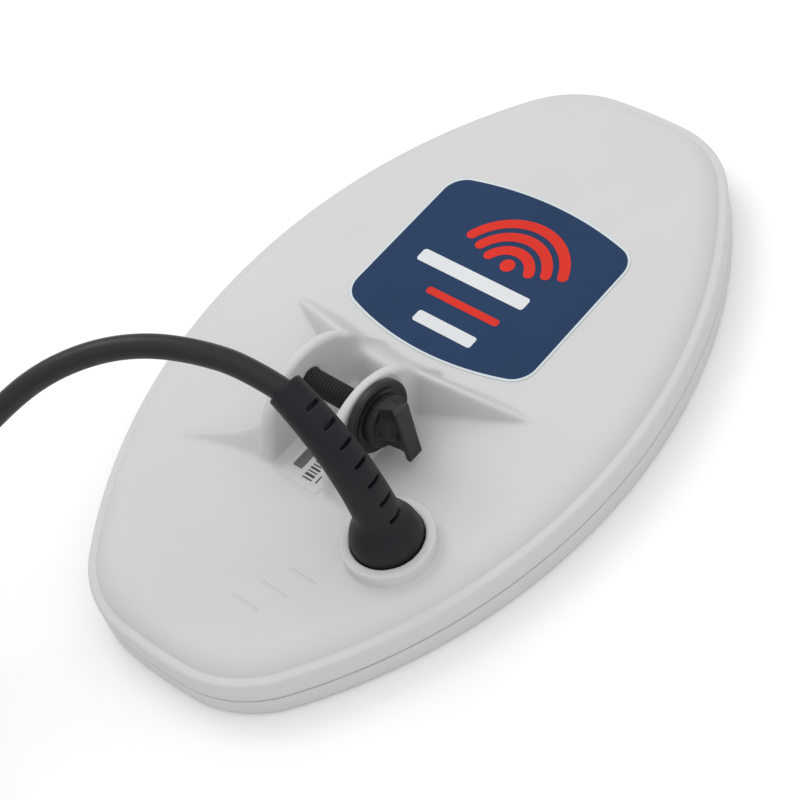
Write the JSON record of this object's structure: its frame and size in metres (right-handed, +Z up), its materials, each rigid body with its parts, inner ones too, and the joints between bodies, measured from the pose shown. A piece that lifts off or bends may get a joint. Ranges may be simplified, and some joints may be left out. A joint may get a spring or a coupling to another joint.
{
  "type": "metal detector search coil",
  "caption": "Elliptical search coil with pivot ears, bolt and wing nut, push-fit skid plate, strain relief and a coiled lead ending in a locking plug.",
  "frame": {"origin": "middle of the underside, on the surface the coil lies on", "axes": "+X to the coil's right, +Y to its toe, +Z up; the pivot bolt runs along X"},
  "size_m": [0.1662, 0.4267, 0.0942],
  "materials": {
    "white_housing": "satin moulded plastic",
    "former_board": "plain sheet",
    "copper_wire": "enamelled copper",
    "foam": "rigid foam",
    "foil": "bare",
    "board": "solder mask",
    "chip": "moulded",
    "black_nylon": "moulded nylon",
    "black_rubber": "moulded rubber",
    "cable_jacket": "satin jacket",
    "black_fabric": "hook and loop",
    "pale_print": "printed",
    "navy_print": "printed satin film",
    "paper_label": "printed film",
    "gold_pins": "plated"
  },
  "bodies": {
    "coil": {"skid_plate": "white_housing", "lower_housing": "white_housing", "upper_housing": "white_housing", "winding_former": "former_board", "transmit_winding": "copper_wire", "receive_winding": "copper_wire", "foam_core": "foam", "shield_foil": "foil", "circuit_board": "board", "preamp_chip": "chip", "capacitors": "foil", "terminal_block": "chip", "cable_cores": "copper_wire", "transmit_leads": "copper_wire", "receive_leads": "copper_wire", "gland_body": "black_nylon", "gland_nut": "black_nylon", "gland_seal": "black_rubber", "strain_relief": "black_rubber", "pivot_bolt": "black_nylon", "badge_trim": "pale_print", "badge_plate": "navy_print", "serial_label": "paper_label", "coil_cable": "cable_jacket", "cable_coil": "cable_jacket", "cable_strap": "black_fabric", "cable_tail": "cable_jacket", "plug_boot": "black_rubber", "plug_body": "black_nylon", "plug_insert": "chip", "plug_pins": "gold_pins"},
    "nut_washer": {"nut_washer": "black_nylon"},
    "wing_nut": {"wing_nut": "black_nylon"},
    "plug_collar": {"plug_collar": "black_nylon"}
  },
  "joints": [
    {"name": "nut_travel", "type": "slide", "parent": "coil", "child": "nut_washer", "axis": [1, 0, 0], "range_m": [0, 0.0075]},
    {"name": "nut_turn", "type": "hinge", "parent": "nut_washer", "child": "wing_nut", "pos_m": [0.0184, -0.0318, 0.036], "axis": [1, 0, 0], "range_deg": [0, 2160]},
    {"name": "plug_collar_turn", "type": "hinge", "parent": "coil", "child": "plug_collar", "pos_m": [0.05, -0.29025, 0.0097], "axis": [1, 0, 0], "continuous": true}
  ],
  "couplings": [
    {"joint": "nut_travel", "follows": "nut_turn", "m_per_rad": 0.00019894}
  ]
}
